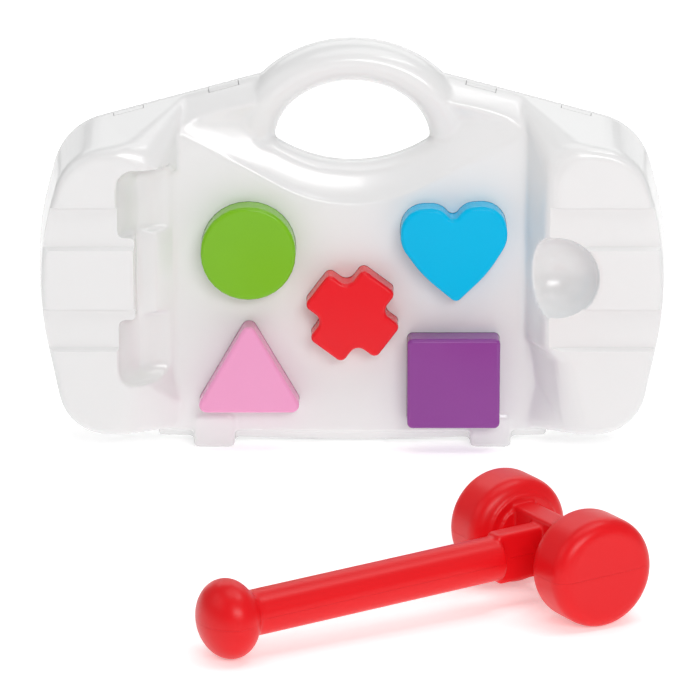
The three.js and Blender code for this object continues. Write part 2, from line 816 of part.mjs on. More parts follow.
function hammerForm(inset) {
  return unite([
    hammerHead(-1, inset),
    hammerHead(1, inset),
    hammerNeck(inset),
    hammerGrip(inset),
    hammerWeb(inset),
    hammerKnob(inset),
  ]);
}

function hammerHalves() {
  const outside = unite([hammerForm(0), hammerHeadSteps(-1), hammerHeadSteps(1)]);
  const body = outside.subtract(hammerForm(hammerWall));
  const reach = (hammerReach + hammerHeadSpacing) * 2;
  const above = block(reach, reach, seamGap / 2, reach, 0, 0);
  const below = block(reach, reach, -reach, -seamGap / 2, 0, 0);
  return [
    part('hammer_upper_half', body.intersect(above), hammerPlastic),
    part('hammer_lower_half', body.intersect(below), hammerPlastic),
  ];
}

// The set: the case stands on its feet, and the hammer lies in front of it on its heads and knob

const bench = new THREE.Group();
bench.rotation.x = Math.PI / 2;
bench.add(part('front_shell', frontShell(), shellPlastic));
bench.add(part('rear_shell', rearShell(), shellPlastic));
screwPlaces.forEach(([x, y], index) => bench.add(screw(`shell_screw_${index + 1}`, x, y)));
pegs.forEach((peg) => bench.add(...pegParts(peg)));

const hammer = new THREE.Group();
const hammerTilt = Math.asin((hammerHeadRadius - hammerKnobRadius) / hammerReach);
hammer.add(...hammerHalves());
hammer.rotation.set(0, hammerTilt, hammerYaw, 'ZYX');
hammer.position.set(hammerPlace.x, -hammerPlace.inFront, hammerHeadRadius);

const poundingToy = new THREE.Group();
poundingToy.add(bench, hammer);
poundingToy.updateMatrixWorld(true);
const footprint = new THREE.Box3().setFromObject(poundingToy, true);
poundingToy.position.set(0, -(footprint.min.y + footprint.max.y) / 2, -footprint.min.z);

export default poundingToy;
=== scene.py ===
import json
import math

import bmesh
import bpy
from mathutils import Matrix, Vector

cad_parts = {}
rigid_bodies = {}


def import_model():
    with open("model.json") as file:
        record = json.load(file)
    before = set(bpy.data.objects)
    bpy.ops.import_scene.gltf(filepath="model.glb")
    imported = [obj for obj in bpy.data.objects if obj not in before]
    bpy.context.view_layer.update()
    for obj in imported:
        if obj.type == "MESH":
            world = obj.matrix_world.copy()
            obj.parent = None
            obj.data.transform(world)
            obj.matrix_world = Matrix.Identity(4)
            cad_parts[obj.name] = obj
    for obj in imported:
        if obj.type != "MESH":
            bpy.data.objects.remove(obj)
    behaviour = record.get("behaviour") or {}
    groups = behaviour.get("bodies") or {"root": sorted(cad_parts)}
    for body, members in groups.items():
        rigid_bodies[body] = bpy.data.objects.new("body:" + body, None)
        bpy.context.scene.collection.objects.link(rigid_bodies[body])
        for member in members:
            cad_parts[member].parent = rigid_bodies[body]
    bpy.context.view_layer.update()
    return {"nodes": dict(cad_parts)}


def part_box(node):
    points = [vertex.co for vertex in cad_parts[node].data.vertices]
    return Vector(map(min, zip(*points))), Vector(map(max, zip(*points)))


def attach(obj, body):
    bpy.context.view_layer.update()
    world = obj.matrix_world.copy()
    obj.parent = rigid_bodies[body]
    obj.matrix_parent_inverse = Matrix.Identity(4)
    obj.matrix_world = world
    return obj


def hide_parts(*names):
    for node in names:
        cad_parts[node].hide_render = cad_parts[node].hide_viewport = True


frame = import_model()
mm = 0.001
caseMid = (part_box("front_shell")[0].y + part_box("rear_shell")[1].y) / 2
print("frame loaded,", len(frame["nodes"]), "nodes, case mid-plane at", round(caseMid, 4))


# Panel space is what the front view shows: x to the right, depth towards the viewer from the seam, height.
# All three are in millimetres.
def atPanel(x, depth, height):
    return Vector((x * mm, caseMid - depth * mm, height * mm))


def depthOf(place):
    return (caseMid - place.y) / mm


# Hand tools

def deselectAll():
    if bpy.context.object and bpy.context.object.mode != "OBJECT":
        bpy.ops.object.mode_set(mode="OBJECT")
    bpy.ops.object.select_all(action="DESELECT")


def activate(form):
    deselectAll()
    form.select_set(True)
    bpy.context.view_layer.objects.active = form


def startForm(name):
    deselectAll()
    bpy.ops.mesh.primitive_plane_add(size=mm, enter_editmode=True)
    bpy.ops.mesh.select_mode(type="VERT")
    bpy.ops.mesh.delete(type="VERT")  # an empty mesh, drawn into from here on
    bpy.context.object.name = name
    return bpy.context.object


def endForm():
    form = bpy.context.object
    bpy.ops.mesh.select_all(action="SELECT")
    bpy.ops.mesh.normals_make_consistent(inside=False)
    if bmesh.from_edit_mesh(form.data).calc_volume(signed=True) < 0:
        bpy.ops.mesh.flip_normals()
    bpy.ops.object.mode_set(mode="OBJECT")
    return form


def editAll(form):
    activate(form)
    bpy.ops.object.mode_set(mode="EDIT")
    bpy.ops.mesh.select_all(action="SELECT")


def pick(kind, chosen):
    # selects what chosen finds in the mesh being edited
    bpy.ops.mesh.select_mode(type=kind)
    bpy.ops.mesh.select_all(action="DESELECT")
    mesh = bmesh.from_edit_mesh(bpy.context.object.data)
    for element in chosen(mesh):
        element.select_set(True)
    mesh.select_flush_mode()
    bmesh.update_edit_mesh(bpy.context.object.data)


def pickVerts(test):
    pick("VERT", lambda mesh: [vert for vert in mesh.verts if test(vert.co)])


def pickRange(first, count):
    pick("VERT", lambda mesh: list(mesh.verts)[first:first + count])


def pickEdges(test):
    pick("EDGE", lambda mesh: [edge for edge in mesh.edges if test(edge.verts[0].co, edge.verts[1].co)])


def pickFaces(test):
    pick("FACE", lambda mesh: [face for face in mesh.faces if test(face.calc_center_median())])


def applyModifier(form, kind, **settings):
    activate(form)
    bpy.ops.object.modifier_add(type=kind)
    modifier = form.modifiers[-1]
    for name, value in settings.items():
        setattr(modifier, name, value)
    bpy.ops.object.modifier_apply(modifier=modifier.name)


def cut(form, *cutters, operation="DIFFERENCE"):
    for cutter in cutters:
        applyModifier(form, "BOOLEAN", object=cutter, operation=operation, solver="EXACT")
        bpy.data.objects.remove(cutter)
    return form


def gather(name, *forms):
    # one form of all, so that a finely divided piece is cut once
    forms[0].name = name
    return cut(forms[0], *forms[1:], operation="UNION")


def joinForms(name, *forms):
    activate(forms[0])
    for form in forms[1:]:
        form.select_set(True)
    bpy.ops.object.join()
    forms[0].name = name
    return forms[0]


def soften(form, voxel, passes):
    applyModifier(form, "REMESH", mode="VOXEL", voxel_size=voxel * mm)
    applyModifier(form, "SMOOTH", factor=0.5, iterations=passes)


def softenWhere(form, weightAt, passes):
    group = form.vertex_groups.new(name="softened")
    for vert in form.data.vertices:
        weight = weightAt(vert.co)
        if weight > 0.01:
            group.add([vert.index], min(weight, 1.0), "REPLACE")
    applyModifier(form, "SMOOTH", factor=0.5, iterations=passes, vertex_group=group.name)
    form.vertex_groups.clear()


def smoothShade(form, degrees=35):
    activate(form)
    bpy.ops.object.shade_smooth_by_angle(angle=math.radians(degrees))
    # flat faces stay flat beside their rounded edges
    applyModifier(form, "WEIGHTED_NORMAL", keep_sharp=True)


def dress(piece, name, finish, body, slotName, *nodes):
    piece.name = name
    piece.data.name = name
    piece.data.materials.clear()
    piece.data.materials.append(finish)
    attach(piece, body)
    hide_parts(*nodes)
    print("piece", name, "with", sum(len(face.vertices) - 2 for face in piece.data.polygons), "triangles")


# Outlines are corners (x, height, radius), counter-clockwise

rounding = {"leastReach": 0.05, "sideShare": 0.98}  # how little and how much of a side a corner may take


def filletsOf(corners):
    # for each corner: its place, the ways in and out, its turn, and how far its rounding reaches
    count = len(corners)
    points = [Vector(corner[:2]) for corner in corners]
    sides = [points[(index + 1) % count] - points[index] for index in range(count)]
    ways = [side.normalized() for side in sides]
    turns = [math.atan2(ways[index - 1].cross(ways[index]), ways[index - 1].dot(ways[index]))
             for index in range(count)]
    wanted = [max(abs(corner[2] * math.tan(turn / 2)), rounding["leastReach"])
              for corner, turn in zip(corners, turns)]
    fillets = []
    for index in range(count):
        before = rounding["sideShare"] * sides[index - 1].length / (wanted[index] + wanted[index - 1])
        after = rounding["sideShare"] * sides[index].length / (wanted[index] + wanted[(index + 1) % count])
        reach = wanted[index] * min(1, before, after)
        fillets.append((points[index], ways[index - 1], ways[index], turns[index], reach))
    return fillets


def mirrorCorners(corners):
    return [(-x, height, radius) for x, height, radius in reversed(corners)]


def growCorners(corners, distances):
    # each side moves outwards by its own distance, and the corners follow
    count = len(corners)
    if not hasattr(distances, "__len__"):
        distances = [distances] * count
    lines = []
    for index in range(count):
        start, end = Vector(corners[index][:2]), Vector(corners[(index + 1) % count][:2])
        along = (end - start).normalized()
        lines.append((start + Vector((along.y, -along.x)) * distances[index], along))
    grown = []
    for index in range(count):
        (p, u), (q, v) = lines[index - 1], lines[index]
        crossing = u.cross(v)
        meet = q if abs(crossing) < 1e-6 else p + u * ((q - p).cross(v) / crossing)
        grown.append((meet.x, meet.y, corners[index][2]))
    return grown


def startChain(place):
    bpy.ops.mesh.select_mode(type="VERT")
    bpy.ops.mesh.select_all(action="DESELECT")
    bpy.ops.mesh.primitive_circle_add(vertices=3, radius=mm, location=place)
    bpy.ops.mesh.merge(type="CENTER")


def drawChain(places):
    # one point is drawn out from place to place
    startChain(places[0])
    for here, there in zip(places, places[1:]):
        bpy.ops.mesh.extrude_region_move(TRANSFORM_OT_translate={"value": there - here})
    bpy.ops.mesh.select_linked()


def extrudeTo(here, there, depth):
    step = atPanel(there.x, depth, there.y) - atPanel(here.x, depth, here.y)
    bpy.ops.mesh.extrude_region_move(TRANSFORM_OT_translate={"value": step})


def addOutline(corners, depth, segments):
    # one point is drawn out along each side and spun round each corner, then the outline is filled
    fillets = filletsOf(corners)
    here = None
    for corner, arriving, leaving, turn, reach in fillets:
        start, end = corner - arriving * reach, corner + leaving * reach
        if here is None:
            startChain(atPanel(start.x, depth, start.y))
        else:
            extrudeTo(here, start, depth)
        if abs(turn) < 1e-3:
            for step in range(segments):
                extrudeTo(start.lerp(end, step / segments), start.lerp(end, (step + 1) / segments), depth)
        else:
            radius = reach / math.tan(turn / 2)
            centre = start + Vector((-arriving.y, arriving.x)) * radius
            bpy.ops.mesh.spin(steps=segments, angle=turn, axis=(0, 1, 0),
                              center=atPanel(centre.x, depth, centre.y))
        here = end
    bpy.ops.mesh.select_linked()
    bpy.ops.mesh.edge_face_add()


def loft(name, rings, segments=6):
    # rings are (corners, depth) from back to front
    startForm(name)
    for corners, depth in rings:
        addOutline(corners, depth, segments)
    bpy.ops.mesh.select_all(action="SELECT")
    bpy.ops.mesh.delete(type="ONLY_FACE")
    depths = [depth for _, depth in rings]
    for back, front in zip(depths, depths[1:]):
        pickVerts(lambda co: min(abs(depthOf(co) - back), abs(depthOf(co) - front)) < 1e-3)
        bpy.ops.mesh.bridge_edge_loops()
    for depth in (depths[0], depths[-1]):
        pickVerts(lambda co: abs(depthOf(co) - depth) < 1e-3)
        bpy.ops.mesh.edge_face_add()
    return endForm()


def prism(name, corners, back, front, segments=6):
    return loft(name, [(corners, back), (corners, front)], segments)


def box(name, lowest, highest):
    # corners are in panel space
    low, high = atPanel(*lowest), atPanel(*highest)
    startForm(name)
    bpy.ops.mesh.primitive_cube_add(size=1, location=(low + high) / 2,
                                    scale=[abs(side) for side in high - low])
    return endForm()


def rod(name, radius, back, front, x, height, sides=32):
    startForm(name)
    bpy.ops.mesh.primitive_cylinder_add(vertices=sides, radius=radius * mm, depth=(front - back) * mm,
                                        location=atPanel(x, (back + front) / 2, height),
                                        rotation=(math.pi / 2, 0, 0))
    return endForm()


# Case halves

case = {
    "halfWidth": 150.9, "waistHeight": 92.4, "waistRadius": 146,
    "bottomHalfWidth": 135, "bottomHeight": 8, "bottomRadius": 34,
    "shoulderHeight": 177, "shoulderInnerX": 43, "shoulderInnerRadius": 12, "shoulderSlope": 0.271,
    "shoulderOuterX": 134, "shoulderOuterRadius": 31.5,
    "panelDepth": 14, "bulgeDepth": 36, "seamGap": 0.3,
    "voxel": 1.0, "passes": 5,
}

bulge = {
    "footX": 74.7, "footFlare": 8, "footRadius": 1,
    "faceInnerX": 92.5, "sideDraft": 4, "bottomDraft": 5.5, "topDraft": 9,
    "stepHeight": 52, "stepRise": 2, "stepWidth": 7, "stepFlare": 8, "stepFall": 4, "stepRadius": 6,
    "faceBottomRadius": 22, "faceTopRadius": 25, "faceInnerDrop": 6, "faceInnerRadius": 16,
    "edges": (4, 3, 3, 4, 6, 6, 6),  # rounding of the front edge: bottom, outer twice, top, inner thrice
    "edgeDepths": (0.35, 0.6, 0.78, 0.9, 0.97, 1.0), "edgeSwell": 0.4,
}

plate = {
    "edgeX": 91.6, "corner": 1, "sagShare": 0.6, "sagRadius": 732.8,
    # depth, bottom, sag, fall of the shoulder
    "rings": ((0, 1.5, 1.7, 0), (3, 1.5, 1.7, 1.2), (4.6, 1.6, 1.7, 2.5), (6, 2.8, 1.5, 4),
              (9, 5.4, 1, 8.2), (11.5, 7.4, 0.6, 12), (14, 8.4, 0.2, 16.5)),
}

scoop = {
    "lipDepth": 6.5, "ridgeLowest": 117.5, "ridgeRadius": 70, "ridgeAngle": 28, "ridgeHalfWidth": 86,
    "floorRadius": 60, "floorAngle": 50, "rise": 19.5, "riseCurve": 1.5, "rings": 8,
    "roofFall": 12, "roofSlope": 8, "roofDepth": 11.5, "corner": 1,
    # how far the cutters reach past the plate
    "cutAbove": 90, "cutFront": 2.5, "roofAbove": 110, "roofBeyond": 2, "roofFront": 8,
}

handle = {
    "halfSpan": 45.6, "rise": 37.2, "base": 146, "halfHeight": 9.9, "halfDepth": 13, "rootDepth": 6.8,
    "endAngle": -24, "thinFrom": 40, "thinTo": -12,  # degrees along the arch between which it thins
    "rings": 40, "sides": 32,
}

opening = {"archSteps": 24, "corner": 0.1, "behind": 2, "inFront": 20}

lip = {"height": 135.7, "arcRadius": 65, "thickness": 3.6, "halfSpan": 35.7, "endInside": 6,
       "rings": 24, "sides": 24}

foot = {"x": 65, "width": 19.5, "height": 15.7, "proud": 1, "corner": 2, "chamfer": 1}

recess = {
    "axisX": -84.7, "axisProud": 3.5,
    "pocketRadius": 24, "pocketHeights": (51.3, 121.7), "pocketLength": 31.6,
    "outerEdge": 7.5, "innerEdge": 2.5,
    "channelLeft": -100.2, "channelRight": -60, "channelFloor": 20, "channelOverlap": 12,
    "channelSlopeX": -91, "channelFootX": -83, "panelSkim": 0.1, "cutFront": 10,
    "knobX": 94.4, "knobHeight": 87, "knobRadius": 19.2,
}

groove = {"heights": (61.2, 109.2), "width": 22.4, "depth": 2, "slope": 3.9,
          "innerX": 70, "outerX": 165, "cutFront": 3}


def shoulderAt(x):
    return case["shoulderHeight"] - case["shoulderSlope"] * (x - case["shoulderInnerX"])


def bulgeBase():
    footX, corner = bulge["footX"], bulge["footRadius"]
    step, outerX = bulge["stepHeight"], case["shoulderOuterX"]
    return [
        (footX - bulge["footFlare"], case["bottomHeight"], corner),
        (case["bottomHalfWidth"], case["bottomHeight"], case["bottomRadius"]),
        (case["halfWidth"], case["waistHeight"], case["waistRadius"]),
        (outerX, shoulderAt(outerX), case["shoulderOuterRadius"]),
        (footX, shoulderAt(footX), corner),
        (footX, step + bulge["stepRise"], corner),
        (footX, step - bulge["stepFall"], corner),
    ]


def bulgeFace():
    bottom = case["bottomHeight"] + bulge["bottomDraft"]
    innerX, outerX = bulge["faceInnerX"], case["shoulderOuterX"]
    stepX = innerX + bulge["stepWidth"]
    return [
        (stepX + bulge["stepFlare"], bottom, bulge["stepRadius"]),
        (case["bottomHalfWidth"] - bulge["sideDraft"], bottom, bulge["faceBottomRadius"]),
        (case["halfWidth"] - bulge["sideDraft"], case["waistHeight"], case["waistRadius"]),
        (outerX - bulge["sideDraft"], shoulderAt(outerX) - bulge["topDraft"], bulge["faceTopRadius"]),
        (innerX, shoulderAt(innerX) - bulge["topDraft"] - bulge["faceInnerDrop"], bulge["faceInnerRadius"]),
        (innerX, bulge["stepHeight"] + bulge["stepRise"], bulge["stepRadius"]),
        (stepX, bulge["stepHeight"] - bulge["stepFall"], bulge["stepRadius"]),
    ]


def bulgeOutline(depth):
    # the drafted outline, drawn in near the front by each side's own rounding
    share = depth / case["bulgeDepth"]
    drafted = [tuple(a + (b - a) * share for a, b in zip(*pair)) for pair in zip(bulgeBase(), bulgeFace())]
    insets = []
    for edge in bulge["edges"]:
        into = depth - (case["bulgeDepth"] - edge)
        insets.append(0 if into <= 0 else edge - math.sqrt(max(edge * edge - into * into, 0)))
    swells = [bulge["edgeSwell"] * edge * share for edge in bulge["edges"]]
    return growCorners(drafted, [swell - inset for swell, inset in zip(swells, insets)])


def makeBulge():
    deepest = max(bulge["edges"])
    start = case["bulgeDepth"] - deepest
    depths = [case["seamGap"] / 2, start] + [start + deepest * share for share in bulge["edgeDepths"]]
    return loft("bulge", [(bulgeOutline(depth), depth) for depth in depths], 8)


def flipSide(form):
    editAll(form)
    bpy.ops.transform.resize(value=(-1, 1, 1), center_override=(0, 0, 0))
    return endForm()


def plateOutline(bottom, sag, fall):
    edge, corner = plate["edgeX"], plate["corner"]
    inner, innerRadius = case["shoulderInnerX"], case["shoulderInnerRadius"]
    return [
        (-edge, bottom + sag, corner),
        (0, bottom - plate["sagShare"] * sag, plate["sagRadius"]),
        (edge, bottom + sag, corner),
        (edge, shoulderAt(edge) - fall, corner),
        (inner, shoulderAt(inner) - fall, innerRadius),
        (-inner, shoulderAt(inner) - fall, innerRadius),
        (-edge, shoulderAt(edge) - fall, corner),
    ]


def makePlate():
    rings = [(plateOutline(*sizes), max(depth, case["seamGap"] / 2)) for depth, *sizes in plate["rings"]]
    return loft("plate", rings, 8)


def ridgeOutline(depth):
    # a dish that narrows with its depth and curves up to the lip
    share = (case["panelDepth"] - depth) / (case["panelDepth"] - scoop["lipDepth"])
    share = share if share < 0 else share ** scoop["riseCurve"]
    radius = scoop["ridgeRadius"] + (scoop["floorRadius"] - scoop["ridgeRadius"]) * share
    slope = math.radians(scoop["ridgeAngle"] + (scoop["floorAngle"] - scoop["ridgeAngle"]) * share)
    apex = scoop["ridgeLowest"] + scoop["rise"] * share - radius * (1 / math.cos(slope) - 1)
    half, top, corner = scoop["ridgeHalfWidth"], case["shoulderHeight"] + scoop["cutAbove"], scoop["corner"]
    ends = apex + half * math.tan(slope)
    return [(0, apex, radius), (half, ends, corner), (half, top, corner), (-half, top, corner),
            (-half, ends, corner)]


def roofOutline(side, fall):
    inner, far = case["shoulderInnerX"], scoop["ridgeHalfWidth"] + scoop["roofBeyond"]
    top, corner = case["shoulderHeight"] + scoop["roofAbove"], scoop["corner"]
    right = [(inner, shoulderAt(inner) - fall, corner), (far, shoulderAt(far) - fall, corner),
             (far, top, corner), (inner, top, corner)]
    return right if side > 0 else mirrorCorners(right)


def makeRoof(side):
    # the shoulder's front edge beside the handle, its underside sloping down into the hollow
    back, front = scoop["lipDepth"], scoop["roofDepth"]
    low, high = (roofOutline(side, scoop["roofFall"] + slope) for slope in (scoop["roofSlope"], 0))
    outside = case["panelDepth"] + scoop["roofFront"]
    return loft("roof", [(low, 0), (low, back), (high, front), (high, outside)], 1)


def makeScoop():
    back, front, count = scoop["lipDepth"], case["panelDepth"], scoop["rings"]
    depths = [back + (front - back) * ring / count for ring in range(count + 1)]
    depths.append(front + scoop["cutFront"])
    hollow = loft("scoop", [(ridgeOutline(depth), depth) for depth in depths], 16)
    return cut(hollow, makeRoof(1), makeRoof(-1))


def makeOpening():
    # a lens: the arch under the handle, and a long arc that leaves room for the rounded lip
    half, rise, base = handle["halfSpan"], handle["rise"], handle["base"]
    steps, corner = opening["archSteps"], opening["corner"]
    arch = [(half * math.cos(angle), base + rise * math.sin(angle), corner)
            for angle in (math.pi * step / steps for step in range(steps + 1))]
    radius, reach = lip["arcRadius"] + lip["thickness"], lip["halfSpan"]
    spread = math.asin(reach / radius)
    ends = lip["height"] + lip["arcRadius"] - radius * math.cos(spread)
    below = [(-reach, ends, corner), (0, ends - reach * math.tan(spread), radius), (reach, ends, corner)]
    return prism("opening", arch + below, -opening["behind"], case["panelDepth"] + opening["inFront"], 12)


def sweepTube(name, path, sides, across):
    # an elliptical section drawn along (place, way, depth) stations, and cut off at the seam
    startForm(name)
    for place, way, depth in path:
        bpy.ops.mesh.select_all(action="DESELECT")
        bpy.ops.mesh.primitive_circle_add(vertices=sides, radius=across * mm, location=place,
                                          rotation=(0, math.atan2(way.x, way.y), 0))
        bpy.ops.transform.resize(value=(1, depth / across, 1), center_override=place)
    for ring in range(len(path) - 1):
        pickRange(ring * sides, 2 * sides)
        bpy.ops.mesh.bridge_edge_loops()
    for ring in (0, len(path) - 1):
        pickRange(ring * sides, sides)
        bpy.ops.mesh.edge_face_add()
    bpy.ops.mesh.select_all(action="SELECT")
    bpy.ops.mesh.normals_make_consistent(inside=False)
    bpy.ops.mesh.bisect(plane_co=atPanel(0, case["seamGap"] / 2, 0), plane_no=(0, 1, 0), use_fill=True,
                        clear_outer=True)
    return endForm()


def makeHandle():
    span, rise, base, count = handle["halfSpan"], handle["rise"], handle["base"], handle["rings"]
    first, last = math.radians(handle["endAngle"]), math.radians(180 - handle["endAngle"])
    path = []
    for angle in (first + (last - first) * ring / count for ring in range(count + 1)):
        place = atPanel(span * math.cos(angle), 0, base + rise * math.sin(angle))
        way = Vector((-span * math.sin(angle), rise * math.cos(angle)))
        fromRoot = min(math.degrees(angle), 180 - math.degrees(angle))
        share = (fromRoot - handle["thinTo"]) / (handle["thinFrom"] - handle["thinTo"])
        share = min(max(share, 0), 1)
        swell = share * share * (3 - 2 * share)
        path.append((place, way, handle["rootDepth"] + (handle["halfDepth"] - handle["rootDepth"]) * swell))
    return sweepTube("handle", path, handle["sides"], handle["halfHeight"])


def makeLip():
    # a half-round edge along the opening's long arc, its ends inside the handle
    radius, count = lip["arcRadius"] + lip["thickness"], lip["rings"]
    middle = lip["height"] + lip["arcRadius"]
    spread = math.asin((lip["halfSpan"] + lip["endInside"]) / radius)
    path = []
    for angle in (spread * (2 * ring / count - 1) for ring in range(count + 1)):
        place = atPanel(radius * math.sin(angle), 0, middle - radius * math.cos(angle))
        path.append((place, Vector((math.cos(angle), math.sin(angle))), scoop["lipDepth"]))
    return sweepTube("lip", path, lip["sides"], lip["thickness"])


def makeFoot(side):
    half, corner, chamfer = foot["width"] / 2, foot["corner"], foot["chamfer"]
    front = case["panelDepth"] + foot["proud"]
    corners = [(side * foot["x"] + x * half, height, corner) for x, height in
               ((-1, 0), (1, 0), (1, foot["height"]), (-1, foot["height"]))]
    inner = growCorners(corners, -chamfer)
    return loft("foot", [(corners, case["seamGap"] / 2), (corners, front - chamfer), (inner, front)], 4)


def makePockets():
    startForm("pockets")
    for height in recess["pocketHeights"]:
        bpy.ops.mesh.select_all(action="DESELECT")
        centre = atPanel(recess["axisX"], case["bulgeDepth"] + recess["axisProud"], height)
        bpy.ops.mesh.primitive_cylinder_add(vertices=96, radius=recess["pocketRadius"] * mm,
                                            depth=recess["pocketLength"] * mm, location=centre)
    (low, high), half = recess["pocketHeights"], recess["pocketLength"] / 2
    for ends, edge in (((low - half, high + half), "outerEdge"), ((low + half, high - half), "innerEdge")):
        pickEdges(lambda a, b: abs(a.z - b.z) < 1e-7 and min(abs(a.z / mm - end) for end in ends) < 1e-3)
        bpy.ops.mesh.bevel(affect="EDGES", offset=recess[edge] * mm, segments=6)
    return endForm()


def makeChannel():
    # a floor, then a slope down to the panel, drawn as a section and drawn out upwards
    low, high = recess["pocketHeights"]
    low, high = low - recess["channelOverlap"], high + recess["channelOverlap"]
    front, panel = case["bulgeDepth"] + recess["cutFront"], case["panelDepth"] + recess["panelSkim"]
    section = [(recess["channelLeft"], front), (recess["channelLeft"], recess["channelFloor"]),
               (recess["channelSlopeX"], recess["channelFloor"]), (recess["channelFootX"], panel),
               (recess["channelRight"], panel), (recess["channelRight"], front)]
    startForm("channel")
    drawChain([atPanel(x, depth, low) for x, depth in section])
    bpy.ops.mesh.edge_face_add()
    bpy.ops.mesh.extrude_region_move(TRANSFORM_OT_translate={"value": (0, 0, (high - low) * mm)})
    return endForm()


def makeKnobScoop():
    startForm("knobScoop")
    bpy.ops.mesh.primitive_uv_sphere_add(segments=64, ring_count=32, radius=recess["knobRadius"] * mm,
                                         location=atPanel(recess["knobX"], case["bulgeDepth"],
                                                          recess["knobHeight"]))
    return endForm()


def makeGrooves(side):
    # bands sunk into the face, with a square upper edge and a sloping lower one
    face = case["bulgeDepth"]
    floor, front = face - groove["depth"], face + groove["cutFront"]
    inner, outer = groove["innerX"] * side, groove["outerX"] * side
    bands = []
    for height in groove["heights"]:
        low, high = height - groove["width"] / 2, height + groove["width"] / 2
        band = box("band", (min(inner, outer), floor, low), (max(inner, outer), front, high))
        editAll(band)
        pickVerts(lambda co: co.z < height * mm and depthOf(co) < face)
        bpy.ops.transform.translate(value=(0, 0, groove["slope"] * mm))
        bands.append(endForm())
    return bands


# Where the moulded forms flow into one another, and how strongly
softening = {
    "seamDepth": 3,  # the rim beside the seam stays as it is
    "rootX": 60, "rootHeight": 152, "rootWide": 15, "rootHigh": 16, "rootWeight": 2, "rootPasses": 40,
    "lipOutmost": 44, "lipHighest": 150, "lipBelow": 1, "lipReach": 6, "lipWeight": 1.6, "lipPasses": 30,
    "creaseX": 81.6, "creaseHighest": 150, "creaseReach": 7, "creaseWeight": 1.5, "creasePasses": 20,
    "crispHeights": (30, 142),
}


def nearHandleRoot(co):
    # strongest where the handle runs into the hollow below it
    x, depth, height = abs(co.x) / mm, depthOf(co), co.z / mm
    if abs(depth) < softening["seamDepth"]:
        return 0
    away = math.hypot((x - softening["rootX"]) / softening["rootWide"],
                      (height - softening["rootHeight"]) / softening["rootHigh"])
    return max(0, 1 - away) * softening["rootWeight"]


def nearLipRoot(co):
    # the line where the rounded lip meets the hollow
    x, depth, height = abs(co.x) / mm, depthOf(co), co.z / mm
    if depth < softening["seamDepth"] or x > softening["lipOutmost"] or height > softening["lipHighest"]:
        return 0
    below = math.hypot(x, height - lip["height"] - lip["arcRadius"]) - lip["arcRadius"] - lip["thickness"]
    return max(0, 1 - abs(below - softening["lipBelow"]) / softening["lipReach"]) * softening["lipWeight"]


def nearPanelEdge(co):
    # the crease between the panel and the bulges
    x, depth, height = co.x / mm, depthOf(co), co.z / mm
    low, high = softening["crispHeights"]
    if height > softening["creaseHighest"] or (x < 0 and low < height < high):
        return 0  # the recess meets the panel in a crisp line
    reach = softening["creaseReach"]
    away = math.hypot((abs(x) - softening["creaseX"]) / reach, (depth - case["panelDepth"]) / reach)
    return max(0, 1 - away) * softening["creaseWeight"]


def makeCaseHalf(name, withRecess):
    right, left, middle = makeBulge(), flipSide(makeBulge()), makePlate()
    cut(middle, makeScoop(), makeOpening())
    if withRecess:
        cut(left, makePockets(), makeChannel())
        cut(right, makeKnobScoop())
    half = joinForms(name, middle, right, left, makeHandle(), makeLip(), makeFoot(-1), makeFoot(1))
    soften(half, case["voxel"], case["passes"])
    softenWhere(half, nearHandleRoot, softening["rootPasses"])
    softenWhere(half, nearLipRoot, softening["lipPasses"])
    softenWhere(half, nearPanelEdge, softening["creasePasses"])
    print("softened", name, len(half.data.polygons), "faces")
    return half


hollows = {"wall": 3.5, "bulgeDepth": 9, "panelDepth": 11.5, "panelHalfWidth": 75.6, "panelBottom": 9.7,
           "panelTop": 127, "panelTopX": 38, "panelDip": 113, "panelDipX": 16,
           "corner": 2, "dipRadius": 8, "behind": 2}


def makeRooms():
    # room inside for the pegs' bands, and an open back
    base = growCorners(bulgeOutline(hollows["bulgeDepth"]), -hollows["wall"])
    width, top, dip = hollows["panelHalfWidth"], hollows["panelTop"], hollows["panelDip"]
    bottom, topX, dipX = hollows["panelBottom"], hollows["panelTopX"], hollows["panelDipX"]
    corner, bend, back = hollows["corner"], hollows["dipRadius"], -hollows["behind"]
    room = [(-width, bottom, corner), (width, bottom, corner), (width, top, corner), (topX, top, bend),
            (dipX, dip, bend), (-dipX, dip, bend), (-topX, top, bend), (-width, top, corner)]
    return [prism("room", room, back, hollows["panelDepth"], 3),
            prism("rightRoom", base, back, hollows["bulgeDepth"], 6),
            prism("leftRoom", mirrorCorners(base), back, hollows["bulgeDepth"], 6)]


# Snap tabs of the rear half reach into notches in the front half's rim

tab = {"length": 14, "reach": 4.4, "gap": 0.3, "depth": 7, "root": 1, "notchBehind": 2,
       "shoulderX": (60, 104), "sideX": 144.1, "sideHeight": 117, "sideLean": 0.215,
       "skirtX": 23, "skirtHeight": 0.8, "skirtLean": 0.03, "bottomX": 96}


def tabPlaces():
    slope = -math.atan(case["shoulderSlope"])
    right = [(x, shoulderAt(x), slope) for x in tab["shoulderX"]]
    right.append((tab["sideX"], tab["sideHeight"], math.pi / 2 + tab["sideLean"]))
    right.append((tab["skirtX"], tab["skirtHeight"], tab["skirtLean"]))
    right.append((tab["bottomX"], case["bottomHeight"], 0))
    return right + [(-x, height, -turn) for x, height, turn in right]


def makeTabBlocks(grow, back, front):
    startForm("tabs")
    for x, height, turn in tabPlaces():
        bpy.ops.mesh.select_all(action="DESELECT")
        size = (tab["length"] + 2 * grow, front - back, 2 * tab["depth"])
        bpy.ops.mesh.primitive_cube_add(size=1, location=atPanel(x, (back + front) / 2, height),
                                        rotation=(0, -turn, 0), scale=[side * mm for side in size])
    return endForm()


# Pegs

